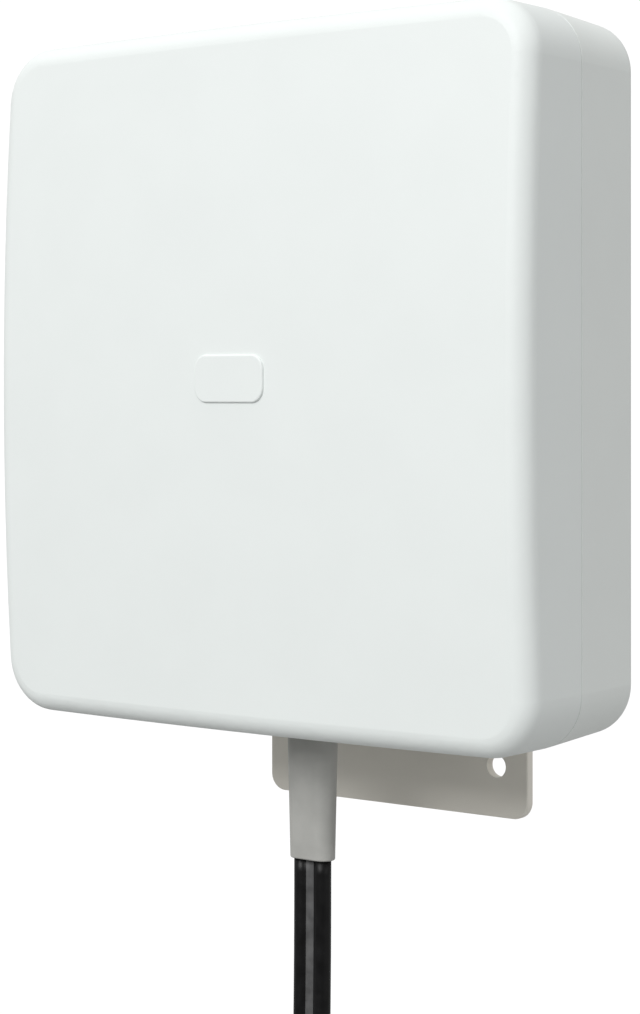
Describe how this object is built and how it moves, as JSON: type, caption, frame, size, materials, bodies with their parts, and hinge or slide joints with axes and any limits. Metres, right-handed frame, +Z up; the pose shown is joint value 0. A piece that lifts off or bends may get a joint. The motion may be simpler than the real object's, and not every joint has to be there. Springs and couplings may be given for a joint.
{
  "type": "panel antenna",
  "caption": "Enclosed directional panel antenna: domed white radome over a reflector stack, folded wall bracket, twin coaxial cable in a strain relief boot, screw-on plugs.",
  "frame": {"origin": "middle of the bracket's two wall screw holes, on the wall face of the bracket", "axes": "+Z up, +Y into the wall, the radome faces -Y, X is the width"},
  "size_m": [0.185, 0.0797, 0.6205],
  "materials": {
    "radome": "fine-textured UV-stable white moulding",
    "rear_shell": "fine-textured UV-stable white moulding",
    "seal": "matt",
    "steel_fixings": "stainless",
    "dark_plastic": "matt moulded",
    "brass": "machined",
    "bracket_paint": "powder coat, low sheen",
    "sheet_aluminium": "mill finish",
    "circuit_board": "bare laminate",
    "copper": "bare copper",
    "white_nylon": "natural",
    "boot": "soft grey moulding",
    "cable_jacket": "black polyethylene jacket",
    "tie_nylon": "black nylon",
    "sleeve": "shrunk sleeve",
    "gilt": "gold plated",
    "nut_nickel": "nickel plated"
  },
  "bodies": {
    "root": {"front_radome": "radome", "rear_housing": "rear_shell", "perimeter_seal": "seal", "cover_screws": "steel_fixings", "vent_plug": "dark_plastic", "brass_inserts": "brass", "mounting_bracket": "bracket_paint", "bracket_washers": "steel_fixings", "bracket_screws": "steel_fixings", "reflector_plate": "sheet_aluminium", "reflector_screws": "steel_fixings", "balun_board_a": "circuit_board", "balun_board_b": "circuit_board", "balun_traces": "copper", "radiator_board": "circuit_board", "radiator_arms": "copper", "director_plate": "sheet_aluminium", "director_posts": "white_nylon", "director_screws": "white_nylon", "strain_relief_boot": "boot", "entry_cable": "cable_jacket", "cable_clamp": "dark_plastic", "clamp_screws": "steel_fixings", "coax_lead_a": "cable_jacket", "coax_lead_b": "cable_jacket", "feed_wires": "copper", "twin_cable": "cable_jacket", "cable_coil": "cable_jacket", "coil_ties": "tie_nylon", "twin_cable_end": "cable_jacket", "splitter_sleeve": "sleeve", "tail_a": "cable_jacket", "tail_b": "cable_jacket", "plug_body_a": "gilt", "plug_body_b": "gilt", "plug_insulator_a": "white_nylon", "plug_insulator_b": "white_nylon", "plug_pin_a": "gilt", "plug_pin_b": "gilt"},
    "nut_a": {"coupling_nut_a": "nut_nickel"},
    "nut_b": {"coupling_nut_b": "nut_nickel"}
  },
  "joints": [
    {"name": "nut_a_spin", "type": "hinge", "parent": "root", "child": "nut_a", "pos_m": [-0.0817, -0.06445, -0.409], "axis": [0, 0, 1], "continuous": true},
    {"name": "nut_b_spin", "type": "hinge", "parent": "root", "child": "nut_b", "pos_m": [-0.0817, -0.04445, -0.409], "axis": [0, 0, 1], "continuous": true}
  ]
}
